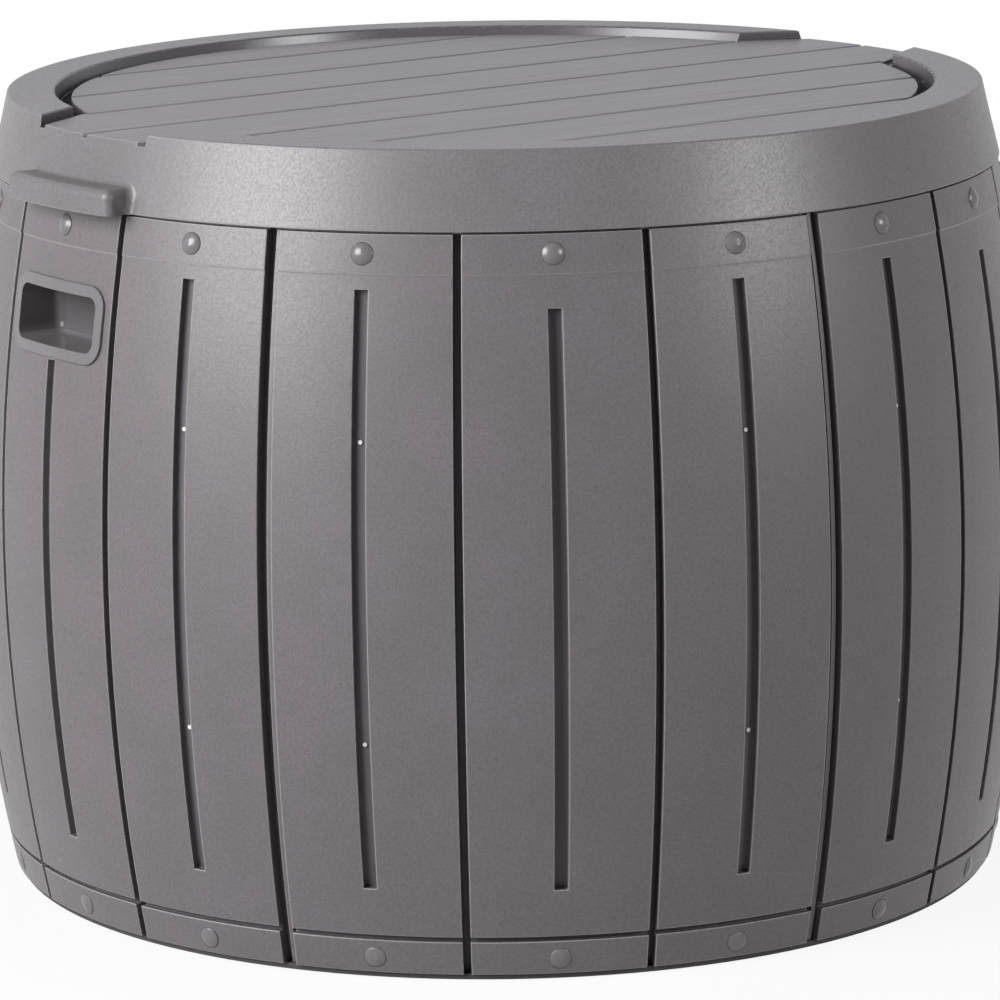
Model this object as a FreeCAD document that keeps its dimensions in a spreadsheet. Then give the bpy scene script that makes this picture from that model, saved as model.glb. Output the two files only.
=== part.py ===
"""Barrel-shaped outdoor storage box with a planked lift-off lid.

Millimetres, +Z up. The origin is on the floor at the middle of the box, and
the two grab handles lie on the X axis.
"""

import FreeCAD
import Part
import Sketcher

import math
import os

PANELS = 6
STAVES = 3
LID_RIBS = 12
BASE_RIBS = 12

# The loose lid sits turned by a little over a degree, as it does in the photograph.
LID_TURN = 1.3

# How close two points lie that are one and the same, in millimetres.
SAME = 0.01

ADD = "PartDesign::Revolution"
CUT = "PartDesign::Groove"
PAD = "PartDesign::Pad"
POCKET = "PartDesign::Pocket"
DEPTH = "depth"
RADIUS = "radius"

# Driving dimensions in millimetres. A drop is measured down from the staves' top, and a rise up
# from their foot.
SIZES = {
    # Barrel outline: an arc through the foot, the belly and the shoulder.
    "belly_radius": 300.0,
    "belly_height": 200.0,
    "foot_draw": 21.6,
    "shoulder_height": 396.0,
    "skin": 3.0,
    # Gaps between staves and the slot down the middle of each stave.
    "stave_gap": 4.6,
    "gap_depth": 8.0,
    "slot_width": 7.7,
    "slot_depth": 4.5,
    "slot_rise": 47.8,
    "slot_drop": 28.2,
    "middle_slot_drop": 37.7,
    "rib_wall": 2.4,
    # Lower band and the hoop line near the top.
    "band_rise": 18.6,
    "band_groove": 2.9,
    "band_groove_depth": 3.6,
    "band_overrun": 0.6,
    "hoop_drop": 20.5,
    "hoop_proud": 0.5,
    # Seam between two panels and the strip that locks it.
    "seam_gap": 8.3,
    "strip_width": 2.6,
    "strip_recess": 3.8,
    "strip_shift": 1.15,
    "tongue_depth": 8.0,
    "tongue_thickness": 2.5,
    "tongue_reach": 4.6,
    "bead_rise": 0.8,
    "bead_width": 1.8,
    "strip_clearance": 0.3,
    # Rivets.
    "rivet_diameter": 12.0,
    "upper_dome": 2.4,
    "lower_dome": 1.4,
    "stem_diameter": 5.0,
    "stem_length": 4.2,
    "stem_clearance": 0.1,
    "rivet_drop": 10.0,
    "rivet_rise": 8.6,
    # Base tray.
    "foot_inset": 1.6,
    "foot_height": 3.0,
    "foot_ring": 14.0,
    "floor_height": 8.0,
    "floor_thickness": 3.5,
    "upstand_height": 40.0,
    "upstand_wall": 3.0,
    "base_clearance": 0.4,
    "base_seat_gap": 0.2,
    "base_rib": 3.0,
    # Lid.
    "skirt_gap": 1.4,
    "skirt_height": 41.2,
    "skirt_overhang": 1.5,
    "skirt_taper": 9.8,
    "lid_wall": 3.6,
    "rim_width": 28.0,
    "rim_rise": 4.5,
    "rim_draft": 2.0,
    "rim_rounding": 1.2,
    "moat_width": 7.5,
    "moat_depth": 5.0,
    "rim_gap": 103.0,
    "rim_gap_inner": 140.0,
    "plank_pitch": 63.5,
    "plank_groove": 5.2,
    "plank_groove_floor": 4.2,
    "plank_groove_depth": 2.0,
    "drain_width": 6.0,
    "drain_depth": 2.2,
    "lip_reach": 14.5,
    "lip_width": 98.0,
    "lip_height": 13.6,
    "lip_rounding": 4.5,
    "lid_rib": 2.4,
    "lid_rib_depth": 10.0,
    # Neck of the panels inside the lid's skirt.
    "neck_wall": 3.5,
    "lid_clearance": 1.0,
    "lid_seat_gap": 0.3,
    # Handle cups.
    "cup_drop": 59.3,
    "well_width": 74.0,
    "well_height": 29.5,
    "well_depth": 26.0,
    "cup_wall": 2.5,
    "well_corner": 6.0,
    "well_rounding": 5.0,
    "bezel_margin": 6.0,
    "bezel_proud": 1.5,
    "bezel_gap": 0.1,
    "cup_clearance": 0.4,
}

# Worked out from the driving dimensions. An angle is a width seen from the axis at the belly.
FITS = {
    "foot_radius": "=Sizes.belly_radius - Sizes.foot_draw",
    "bulge_radius": "=(Sizes.belly_height^2 + Sizes.foot_draw^2) / (2 * Sizes.foot_draw)",
    "bulge_back": "=bulge_radius - Sizes.belly_radius",
    "shoulder_radius": "=sqrt(bulge_radius^2 - (Sizes.shoulder_height - Sizes.belly_height)^2) - bulge_back",
    "shoulder_under": "=Sizes.shoulder_height - Sizes.skin",
    "panel_pitch": f"=360 / {PANELS}",
    "seam_angle": "=panel_pitch / 2",
    "stave_pitch": f"=360 / {PANELS * STAVES}",
    "stave_half": "=stave_pitch / 2",
    "degrees": "=180 / pi / Sizes.belly_radius",
    "panel_bottom": "=Sizes.foot_height + Sizes.base_seat_gap",
    "panel_angle": "=panel_pitch - Sizes.seam_gap * degrees",
    "half_panel": "=panel_angle / 2",
    "half_panel_turn": "=half_panel / 2",
    "rib_root": "=Sizes.skin / 2",
    "flange_top": "=panel_bottom + Sizes.skin",
    # Stave gaps and slots, with the ribs moulded behind them.
    "gap_angle": "=Sizes.stave_gap * degrees",
    "gap_rib_angle": "=(Sizes.stave_gap + 2 * Sizes.rib_wall) * degrees",
    "gap_rib_depth": "=Sizes.gap_depth + Sizes.rib_wall",
    "slot_angle": "=Sizes.slot_width * degrees",
    "slot_bottom": "=panel_bottom + Sizes.slot_rise",
    "slot_top": "=Sizes.shoulder_height - Sizes.slot_drop",
    "middle_slot_top": "=Sizes.shoulder_height - Sizes.middle_slot_drop",
    "slot_rib_angle": "=(Sizes.slot_width + 2 * Sizes.rib_wall) * degrees",
    "slot_rib_depth": "=Sizes.slot_depth + Sizes.rib_wall",
    "slot_rib_bottom": "=slot_bottom - Sizes.rib_wall",
    "slot_rib_top": "=slot_top + Sizes.rib_wall",
    "middle_rib_top": "=middle_slot_top + Sizes.rib_wall",
    "half_rib_angle": "=slot_rib_angle / 2",
    "half_rib_turn": "=half_rib_angle / 2",
    # Lower band groove and the hoop line.
    "band_top": "=panel_bottom + Sizes.band_rise",
    "band_groove_top": "=band_top + Sizes.band_groove",
    "band_rib_bottom": "=band_top - Sizes.rib_wall",
    "band_rib_top": "=band_groove_top + Sizes.rib_wall",
    "band_rib_depth": "=Sizes.band_groove_depth + Sizes.rib_wall",
    "band_angle": "=stave_pitch - (Sizes.stave_gap - 2 * Sizes.band_overrun) * degrees",
    "hoop_height": "=Sizes.shoulder_height - Sizes.hoop_drop",
    # Seam: a dog-bone tongue in both panel edges.
    "tongue_back": "=Sizes.tongue_depth + Sizes.tongue_thickness",
    "tongue_half": "=Sizes.seam_gap / 2 + Sizes.tongue_reach",
    "tongue_angle": "=2 * tongue_half * degrees",
    "bead_front": "=Sizes.tongue_depth - Sizes.bead_rise",
    "bead_back": "=tongue_back + Sizes.bead_rise",
    "bead_angle": "=Sizes.bead_width * degrees",
    "bead_turn": "=(tongue_half - Sizes.bead_width / 2) * degrees",
    "nose_angle": "=Sizes.strip_width * degrees",
    "nose_turn": "=Sizes.strip_shift * degrees",
    "edge_depth": "=bead_back + Sizes.strip_clearance + Sizes.rib_wall",
    "edge_width": "=Sizes.tongue_reach + Sizes.strip_clearance + Sizes.rib_wall",
    "edge_angle": "=edge_width * degrees",
    "edge_turn": "=(panel_angle - edge_angle) / 2",
    "keyway_front": "=Sizes.tongue_depth - Sizes.strip_clearance",
    "keyway_back": "=tongue_back + Sizes.strip_clearance",
    "keyway_angle": "=(tongue_half + Sizes.strip_clearance) * degrees",
    "keyway_turn": "=seam_angle - keyway_angle / 2",
    "keybead_front": "=bead_front - Sizes.strip_clearance",
    "keybead_back": "=bead_back + Sizes.strip_clearance",
    "keybead_angle": "=(Sizes.bead_width + 2 * Sizes.strip_clearance) * degrees",
    "keybead_turn": "=seam_angle - bead_turn",
    # Rivets stand square to the barrel's face.
    "rivet_radius": "=Sizes.rivet_diameter / 2",
    "stem_radius": "=Sizes.stem_diameter / 2",
    "stem_hole_radius": "=stem_radius + Sizes.stem_clearance",
    "upper_rivet_height": "=Sizes.shoulder_height - Sizes.rivet_drop",
    "upper_seat": "=bulge_radius + Sizes.hoop_proud",
    "upper_tilt": "=asin((upper_rivet_height - Sizes.belly_height) / upper_seat)",
    "upper_seat_radius": "=upper_seat * cos(upper_tilt) - bulge_back",
    "lower_rivet_height": "=panel_bottom + Sizes.rivet_rise",
    "lower_tilt": "=asin((Sizes.belly_height - lower_rivet_height) / bulge_radius)",
    "lower_seat_radius": "=bulge_radius * cos(lower_tilt) - bulge_back",
    # Base tray, inside the ring of panels.
    "wall_depth": "=max(edge_depth; gap_rib_depth; slot_rib_depth; band_rib_depth)",
    "flange_radius": "=foot_radius - Sizes.foot_inset",
    "upstand_face": "=wall_depth + Sizes.base_clearance",
    "upstand_back": "=upstand_face + Sizes.upstand_wall",
    "foot_outer": "=foot_radius - upstand_face - Sizes.upstand_wall / 2",
    "foot_inner": "=foot_outer - Sizes.foot_ring",
    "floor_top": "=Sizes.floor_height + Sizes.floor_thickness",
    # Lid levels from the rim down, and radii from the skirt in.
    "skirt_bottom": "=Sizes.shoulder_height + Sizes.skirt_gap",
    "lid_height": "=skirt_bottom + Sizes.skirt_height",
    "deck_level": "=lid_height - Sizes.rim_rise",
    "plate_under": "=deck_level - Sizes.lid_wall",
    "moat_floor": "=deck_level - Sizes.moat_depth",
    "moat_back": "=moat_floor - Sizes.lid_wall",
    "lid_rib_foot": "=plate_under - Sizes.lid_rib_depth",
    "skirt_radius": "=shoulder_radius + Sizes.skirt_overhang",
    "rim_radius": "=skirt_radius - Sizes.skirt_taper",
    "rim_inner_radius": "=rim_radius - Sizes.rim_width",
    "rim_inner_top": "=rim_inner_radius + Sizes.rim_draft",
    "deck_radius": "=rim_inner_radius - Sizes.moat_width",
    "moat_middle": "=deck_radius + Sizes.moat_width / 2",
    "moat_inner_back": "=deck_radius - Sizes.lid_wall",
    "moat_outer_back": "=rim_inner_radius + Sizes.lid_wall",
    "skirt_slope": "=Sizes.skirt_taper / Sizes.skirt_height",
    "skirt_inner_low": "=skirt_radius - Sizes.lid_wall",
    "skirt_inner_high": "=skirt_inner_low - skirt_slope * (plate_under - skirt_bottom)",
    # The rim's gap widens inwards; half-widths where its sides leave the rim and reach the deck.
    "gap_outer_reach": "=sqrt(rim_radius^2 - (Sizes.rim_gap / 2)^2)",
    "gap_inner_reach": "=sqrt(rim_inner_radius^2 - (Sizes.rim_gap_inner / 2)^2)",
    "gap_flare": "=(Sizes.rim_gap_inner - Sizes.rim_gap) / 2 / (gap_outer_reach - gap_inner_reach)",
    "gap_skirt_half": "=Sizes.rim_gap / 2 - gap_flare * (skirt_radius - gap_outer_reach)",
    "gap_deck_reach": "=deck_radius - 2 * Sizes.moat_width",
    "gap_deck_half": "=Sizes.rim_gap_inner / 2 + gap_flare * (gap_inner_reach - gap_deck_reach)",
    "gap_rim_half": "=Sizes.rim_gap_inner / 2 - gap_flare * (moat_outer_back - gap_inner_reach)",
    "gap_cut": "=2 * Sizes.rim_rise",
    # A drain runs from the moat out along each side of the gap.
    "drain_floor": "=deck_level - Sizes.drain_depth",
    "drain_reach": "=gap_inner_reach - Sizes.moat_width",
    "drain_reach_half": "=Sizes.rim_gap_inner / 2 + gap_flare * Sizes.moat_width",
    "drain_inner_half": "=drain_reach_half - Sizes.drain_width",
    "drain_skirt_half": "=gap_skirt_half - Sizes.drain_width",
    # Plank grooves and pull lips.
    "plank_length": "=2 * skirt_radius",
    "plank_half": "=Sizes.plank_groove / 2",
    "plank_floor_half": "=Sizes.plank_groove_floor / 2",
    "plank_cut_low": "=deck_level - Sizes.plank_groove_depth",
    "lip_radius": "=skirt_radius + Sizes.lip_reach",
    "lip_top": "=skirt_bottom + Sizes.lip_height",
    "lip_root_low": "=skirt_radius - Sizes.lid_wall / 2",
    "lip_root_high": "=lip_root_low - skirt_slope * Sizes.lip_height",
    "lip_angle": "=2 * asin(Sizes.lip_width / 2 / lip_radius)",
    # Neck of the panels, a clearance inside the skirt.
    "neck_face": "=skirt_inner_low - Sizes.lid_clearance",
    "neck_top": "=plate_under - Sizes.lid_seat_gap",
    "neck_outer_low": "=neck_face + skirt_slope * (skirt_bottom - shoulder_under)",
    "neck_outer_root": "=neck_face + skirt_slope * Sizes.skirt_gap",
    "neck_outer_high": "=neck_face - skirt_slope * (neck_top - skirt_bottom)",
    "neck_inner_low": "=neck_outer_low - Sizes.neck_wall",
    "neck_inner_high": "=neck_outer_high - Sizes.neck_wall",
    # Handle cup and its hole in the stave.
    "cup_height": "=Sizes.shoulder_height - Sizes.cup_drop",
    "cup_radius": "=sqrt(bulge_radius^2 - (cup_height - Sizes.belly_height)^2) - bulge_back",
    "well_half": "=Sizes.well_width / 2",
    "well_low": "=cup_height - Sizes.well_height / 2",
    "well_high": "=cup_height + Sizes.well_height / 2",
    "well_floor": "=cup_radius - Sizes.well_depth",
    "well_length": "=Sizes.belly_radius - well_floor",
    "cup_half": "=well_half + Sizes.cup_wall",
    "cup_low": "=well_low - Sizes.cup_wall",
    "cup_high": "=well_high + Sizes.cup_wall",
    "cup_back": "=well_floor - Sizes.cup_wall",
    "cup_corner": "=Sizes.well_corner + Sizes.cup_wall",
    "cup_length": "=Sizes.belly_radius - cup_back",
    "bezel_low": "=well_low - Sizes.bezel_margin",
    "bezel_high": "=well_high + Sizes.bezel_margin",
    "bezel_half": "=well_half + Sizes.bezel_margin",
    "bezel_corner": "=Sizes.well_corner + Sizes.bezel_margin",
    "bezel_angle": "=4 * asin(bezel_half / cup_radius)",
    "bezel_trim": "=Sizes.belly_radius - cup_radius + Sizes.well_depth + Sizes.cup_wall",
    "bezel_trim_low": "=bezel_low - Sizes.bezel_margin",
    "bezel_trim_high": "=bezel_high + Sizes.bezel_margin",
    "hole_half": "=cup_half + Sizes.cup_clearance",
    "hole_low": "=cup_low - Sizes.cup_clearance",
    "hole_high": "=cup_high + Sizes.cup_clearance",
    "handle_slot_top": "=bezel_low - Sizes.bezel_proud",
}

doc = FreeCAD.newDocument("storage_box")


def make_sheet(name, cells):
    """Fill a spreadsheet, one named cell to a row."""
    sheet = doc.addObject("Spreadsheet::Sheet", name)
    for row, (alias, content) in enumerate(cells.items(), start=1):
        sheet.set(f"A{row}", alias)
        sheet.set(f"B{row}", str(content))
        sheet.setAlias(f"B{row}", alias)
    doc.recompute()
    return sheet


sizes = make_sheet("Sizes", SIZES)
fits = make_sheet("Fits", FITS)


def cell(name):
    """Expression that reads a named cell; a leading minus sign turns it round."""
    if name is None:
        return "0"
    if name.startswith("-"):
        return "-" + cell(name[1:])
    return f"Sizes.{name}" if name in SIZES else f"Fits.{name}"


def number(name):
    """Value of a named cell; a leading minus sign turns it round, and None is zero."""
    if name is None:
        return 0.0
    if name.startswith("-"):
        return -number(name[1:])
    value = sizes.get(name) if name in SIZES else fits.get(name)
    return float(getattr(value, "Value", value))


def new_body(label):
    """A named body, which becomes one node."""
    body = doc.addObject("PartDesign::Body", label)
    body.Label = label
    return body


def origin_feature(body, role):
    """One of the body's own axes or planes."""
    return next(item for item in body.Origin.OriginFeatures if item.Role == role)


def new_sketch(body, name, role="XZ_Plane", turn=None):
    """A sketch on one of the body's planes, turned about Z by a named angle."""
    sketch = body.newObject("Sketcher::SketchObject", name)
    sketch.AttachmentSupport = (origin_feature(body, role), [""])
    sketch.MapMode = "FlatFace"
    if turn is not None:
        rotation = FreeCAD.Rotation(FreeCAD.Vector(0, 1, 0), number(turn))
        sketch.AttachmentOffset = FreeCAD.Placement(FreeCAD.Vector(), rotation)
        sketch.setExpression("AttachmentOffset.Rotation.Angle", cell(turn))
    return sketch


def bind(sketch, constraint, name, expression):
    """Add a constraint whose value follows an expression."""
    index = sketch.addConstraint(constraint)
    sketch.renameConstraint(index, name)
    sketch.setExpression(f"Constraints.{name}", expression)


def place(sketch, geometry, point, across, up, tag):
    """Hold a sketch point at two named coordinates; None keeps it on that axis."""
    for kind, name, axis, letter in (("DistanceX", across, -2, "x"), ("DistanceY", up, -1, "y")):
        if name is None:
            sketch.addConstraint(Sketcher.Constraint("PointOnObject", geometry, point, axis))
        elif name.startswith("-"):
            constraint = Sketcher.Constraint(kind, geometry, point, -1, 1, -number(name))
            bind(sketch, constraint, f"{letter}{tag}", cell(name[1:]))
        else:
            constraint = Sketcher.Constraint(kind, -1, 1, geometry, point, number(name))
            bind(sketch, constraint, f"{letter}{tag}", cell(name))


def polygon(sketch, corners):
    """Closed outline of straight lines through named coordinates."""
    points = [FreeCAD.Vector(number(across), number(up), 0) for across, up in corners]
    for index, start in enumerate(points):
        end = points[(index + 1) % len(points)]
        sketch.addGeometry(Part.LineSegment(start, end))
    for index, (across, up) in enumerate(corners):
        following = (index + 1) % len(corners)
        sketch.addConstraint(Sketcher.Constraint("Coincident", index, 2, following, 1))
        place(sketch, index, 1, across, up, index)


def barrel_outline(sketch, corners):
    """Closed outline through (measure, name, level) corners.

    A DEPTH is taken below the staves' face and a RADIUS from the box's axis. Two corners in a
    row at one depth are joined by an arc along the barrel, all others by a straight line.
    """
    bulge = number("bulge_radius")
    centre = FreeCAD.Vector(-number("bulge_back"), number("belly_height"), 0)
    up = FreeCAD.Vector(0, 0, 1)
    points = []
    for measure, name, level in corners:
        across = number(name)
        if measure == DEPTH:
            across = centre.x + math.sqrt((bulge - across) ** 2 - (number(level) - centre.y) ** 2)
        points.append(FreeCAD.Vector(across, number(level), 0))
    ends = []
    first_arc = None
    for index, corner in enumerate(corners):
        following = (index + 1) % len(corners)
        start = points[index]
        end = points[following]
        if corner[:2] != corners[following][:2] or corner[0] != DEPTH:
            sketch.addGeometry(Part.LineSegment(start, end))
            ends.append((1, 2))
            continue
        radius = bulge - number(corner[1])
        angles = sorted(math.asin((point.y - centre.y) / radius) for point in (start, end))
        sketch.addGeometry(Part.ArcOfCircle(Part.Circle(centre, up, radius), *angles))
        ends.append((1, 2) if start.y < end.y else (2, 1))
        bind(sketch, Sketcher.Constraint("Radius", index, radius), f"radius{index}",
             f"Fits.bulge_radius - ({cell(corner[1])})")
        if first_arc is None:
            first_arc = index
            bind(sketch, Sketcher.Constraint("DistanceX", index, 3, -1, 1, -centre.x), "back",
                 "Fits.bulge_back")
            bind(sketch, Sketcher.Constraint("DistanceY", -1, 1, index, 3, centre.y), "rise",
                 "Sizes.belly_height")
        else:
            sketch.addConstraint(Sketcher.Constraint("Coincident", index, 3, first_arc, 3))
    for index, (measure, name, level) in enumerate(corners):
        following = (index + 1) % len(corners)
        joint = (index, ends[index][1], following, ends[following][0])
        sketch.addConstraint(Sketcher.Constraint("Coincident", *joint))
        if level is None:
            sketch.addConstraint(Sketcher.Constraint("PointOnObject", index, ends[index][0], -1))
        else:
            height = Sketcher.Constraint("DistanceY", -1, 1, index, ends[index][0], number(level))
            bind(sketch, height, f"level{index}", cell(level))
        if measure == RADIUS:
            reach = Sketcher.Constraint("DistanceX", -1, 1, index, ends[index][0], number(name))
            bind(sketch, reach, f"reach{index}", cell(name))


def barrel_section(sketch, outer, inner, low, high):
    """Outline between two depths below the staves' face and two levels."""
    barrel_outline(sketch, ((DEPTH, outer, low), (DEPTH, outer, high),
                            (DEPTH, inner, high), (DEPTH, inner, low)))


def settle(body, feature):
    """Recompute the body with this feature last, and stop if its volume moved the wrong way."""
    before = body.Shape.Volume if body.Tip and body.Tip != feature and not body.Shape.isNull() else 0.0
    body.Tip = feature
    doc.recompute()
    change = body.Shape.Volume - before
    removes = feature.isDerivedFrom("PartDesign::Groove") or feature.isDerivedFrom("PartDesign::Pocket")
    if (change >= 0) if removes else (change <= 0):
        raise RuntimeError(f"{body.Label}: {feature.Name} changed the volume by {change:.3f}")
    return feature


def revolve(body, kind, sketch, angle=None, axis="V_Axis"):
    """Turn a sketch about one of its axes, by a named angle to both sides or all the way round."""
    previous = body.Tip
    feature = body.newObject(kind, sketch.Name + "_turned")
    body.Tip = previous
    feature.Profile = sketch
    feature.Refine = False
    feature.ReferenceAxis = (sketch, [axis])
    if angle is None:
        feature.Angle = 360
    else:
        feature.Midplane = True
        feature.setExpression("Angle", cell(angle))
    return settle(body, feature)


def barrel_band(body, kind, name, outer, inner, low, high, angle, turn=None):
    """Add or cut a band that follows the staves' face."""
    sketch = new_sketch(body, name, turn=turn)
    barrel_section(sketch, outer, inner, low, high)
    return revolve(body, kind, sketch, angle)


def extrude(body, kind, sketch, length, both_ways=False, reverse=False):
    """Pad or pocket a sketch by a named length."""
    previous = body.Tip
    feature = body.newObject(kind, sketch.Name + "_raised")
    body.Tip = previous
    feature.Profile = sketch
    feature.Refine = False
    feature.SideType = "Symmetric" if both_ways else "One side"
    feature.Reversed = reverse
    feature.setExpression("Length", cell(length) if length in SIZES or length in FITS else length)
    return settle(body, feature)


def polar(body, features, count, angle=None):
    """Repeat features about Z, over a named angle or evenly all the way round."""
    previous = body.Tip
    pattern = body.newObject("PartDesign::PolarPattern", features[-1].Name + "_ring")
    pattern.Originals = features
    pattern.Axis = (origin_feature(body, "Z_Axis"), [""])
    pattern.Occurrences = count
    if angle is None:
        pattern.Angle = 360
    else:
        pattern.setExpression("Angle", cell(angle))
    return keep(body, pattern, previous)


def mirror(body, features=None):
    """Repeat features, or the whole body, on the other side of its XZ plane."""
    previous = body.Tip
    pattern = body.newObject("PartDesign::Mirrored", body.Name + "_mirrored")
    if features is None:
        pattern.TransformMode = "Whole shape"
    else:
        pattern.Originals = features
    pattern.MirrorPlane = (origin_feature(body, "XZ_Plane"), [""])
    return keep(body, pattern, previous)


def keep(body, pattern, previous):
    """Make a pattern the body's last feature, and stop if it changed nothing."""
    before = previous.Shape.Volume
    body.Tip = pattern
    doc.recompute()
    if abs(body.Shape.Volume - before) < SAME:
        raise RuntimeError(f"{body.Label}: {pattern.Name} changed nothing")
    return pattern


def round_edges(body, radius, wanted):
    """Fillet the edges that a test picks."""
    base = body.Tip
    picked = [f"Edge{index}" for index, edge in enumerate(base.Shape.Edges, start=1) if wanted(edge)]
    if not picked:
        raise RuntimeError(f"{body.Label}: no edge to round")
    fillet = body.newObject("PartDesign::Fillet", f"{body.Name}_{radius}")
    fillet.Base = (base, picked)
    fillet.setExpression("Radius", cell(radius))
    body.Tip = fillet
    doc.recompute()
    return fillet


def rivet_sketch(body, name, seat_radius, height, tilt, side):
    """A sketch whose X axis stands square to the staves' face at a rivet."""
    sketch = new_sketch(body, name)
    offset = FreeCAD.Vector(number(seat_radius), number(height), 0)
    rotation = FreeCAD.Rotation(FreeCAD.Vector(0, 0, side), number(tilt))
    sketch.AttachmentOffset = FreeCAD.Placement(offset, rotation)
    sketch.setExpression("AttachmentOffset.Base.x", cell(seat_radius))
    sketch.setExpression("AttachmentOffset.Base.y", cell(height))
    sketch.setExpression("AttachmentOffset.Rotation.Angle", cell(tilt))
    return sketch


UPPER_RIVET = ("upper_seat_radius", "upper_rivet_height", "upper_tilt", 1)
LOWER_RIVET = ("lower_seat_radius", "lower_rivet_height", "lower_tilt", -1)


def make_rivets(label, seat, dome):
    """One ring of domed push rivets, a rivet to each stave."""
    body = new_body(label)
    sketch = rivet_sketch(body, label + "_profile", *seat)
    head = number("rivet_radius")
    stem = number("stem_radius")
    tip = -number("stem_length")
    crown = number(dome)
    sphere = (head ** 2 + crown ** 2) / (2 * crown)
    points = [FreeCAD.Vector(x, y, 0) for x, y in ((tip, 0), (tip, stem), (0, stem), (0, head))]
    top = FreeCAD.Vector(crown, 0, 0)
    for start, end in zip(points, points[1:]):
        sketch.addGeometry(Part.LineSegment(start, end))
    circle = Part.Circle(FreeCAD.Vector(crown - sphere, 0, 0), FreeCAD.Vector(0, 0, 1), sphere)
    sketch.addGeometry(Part.ArcOfCircle(circle, 0, math.asin(head / sphere)))
    sketch.addGeometry(Part.LineSegment(top, points[0]))
    for pair in ((0, 2, 1, 1), (1, 2, 2, 1), (2, 2, 3, 2), (3, 1, 4, 1), (4, 2, 0, 1)):
        sketch.addConstraint(Sketcher.Constraint("Coincident", *pair))
    corners = ((0, 1, "-stem_length", None), (1, 1, "-stem_length", "stem_radius"),
               (2, 1, None, "stem_radius"), (3, 2, None, "rivet_radius"), (4, 1, dome, None))
    for tag, (geometry, point, across, up) in enumerate(corners):
        place(sketch, geometry, point, across, up, tag)
    sketch.addConstraint(Sketcher.Constraint("PointOnObject", 3, 3, -1))
    rivet = revolve(body, ADD, sketch, axis="H_Axis")
    polar(body, [rivet], PANELS * STAVES)
    return body


def rivet_holes(body, name, seat):
    """Stem holes of the rivets in half a panel."""
    sketch = rivet_sketch(body, name, *seat)
    corners = (("-stem_length", None), ("stem_length", None),
               ("stem_length", "stem_hole_radius"), ("-stem_length", "stem_hole_radius"))
    polygon(sketch, corners)
    hole = revolve(body, CUT, sketch, axis="H_Axis")
    polar(body, [hole], 2, "stave_pitch")


def make_wall_panel(label):
    """One panel of three staves: half of it is shaped and then mirrored."""
    body = new_body(label)
    shell = new_sketch(body, "panel_shell", turn="half_panel_turn")
    barrel_outline(shell, (
        (DEPTH, None, "panel_bottom"), (DEPTH, None, "hoop_height"),
        (DEPTH, "-hoop_proud", "hoop_height"), (DEPTH, "-hoop_proud", "shoulder_height"),
        (RADIUS, "neck_outer_root", "shoulder_height"), (RADIUS, "neck_outer_high", "neck_top"),
        (RADIUS, "neck_inner_high", "neck_top"), (RADIUS, "neck_inner_low", "shoulder_under"),
        (DEPTH, "skin", "shoulder_under"), (DEPTH, "skin", "band_rib_top"),
        (DEPTH, "band_rib_depth", "band_rib_top"), (DEPTH, "band_rib_depth", "band_rib_bottom"),
        (DEPTH, "skin", "band_rib_bottom"), (DEPTH, "skin", "flange_top"),
        (DEPTH, "edge_depth", "flange_top"), (DEPTH, "edge_depth", "panel_bottom")))
    revolve(body, ADD, shell, "half_panel")

    # Ribs behind the gaps and slots, and the deep edge that takes the strip.
    barrel_band(body, ADD, "edge_rib", "rib_root", "edge_depth", "panel_bottom", "shoulder_height",
                "edge_angle", "edge_turn")
    barrel_band(body, ADD, "gap_rib", "rib_root", "gap_rib_depth", "panel_bottom", "shoulder_height",
                "gap_rib_angle", "stave_half")
    barrel_band(body, ADD, "slot_rib", "rib_root", "slot_rib_depth", "slot_rib_bottom", "slot_rib_top",
                "slot_rib_angle", "stave_pitch")
    barrel_band(body, ADD, "middle_rib", "rib_root", "slot_rib_depth", "slot_rib_bottom", "middle_rib_top",
                "half_rib_angle", "half_rib_turn")

    # Gaps, slots, the groove above the lower band, keyways and rivet holes.
    barrel_band(body, CUT, "stave_gap_cut", "-skin", "gap_depth", None, "shoulder_height",
                "gap_angle", "stave_half")
    barrel_band(body, CUT, "slot_cut", "-skin", "slot_depth", "slot_bottom", "slot_top",
                "slot_angle", "stave_pitch")
    barrel_band(body, CUT, "middle_slot_cut", "-skin", "slot_depth", "slot_bottom", "middle_slot_top",
                "slot_angle")
    groove = barrel_band(body, CUT, "band_cut", "-skin", "band_groove_depth", "band_top",
                         "band_groove_top", "band_angle")
    polar(body, [groove], 2, "stave_pitch")
    barrel_band(body, CUT, "keyway", "keyway_front", "keyway_back", None, "shoulder_height",
                "keyway_angle", "keyway_turn")
    barrel_band(body, CUT, "keybead", "keybead_front", "keybead_back", None, "shoulder_height",
                "keybead_angle", "keybead_turn")
    rivet_holes(body, "upper_holes", UPPER_RIVET)
    rivet_holes(body, "lower_holes", LOWER_RIVET)
    mirror(body)
    return body


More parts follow.
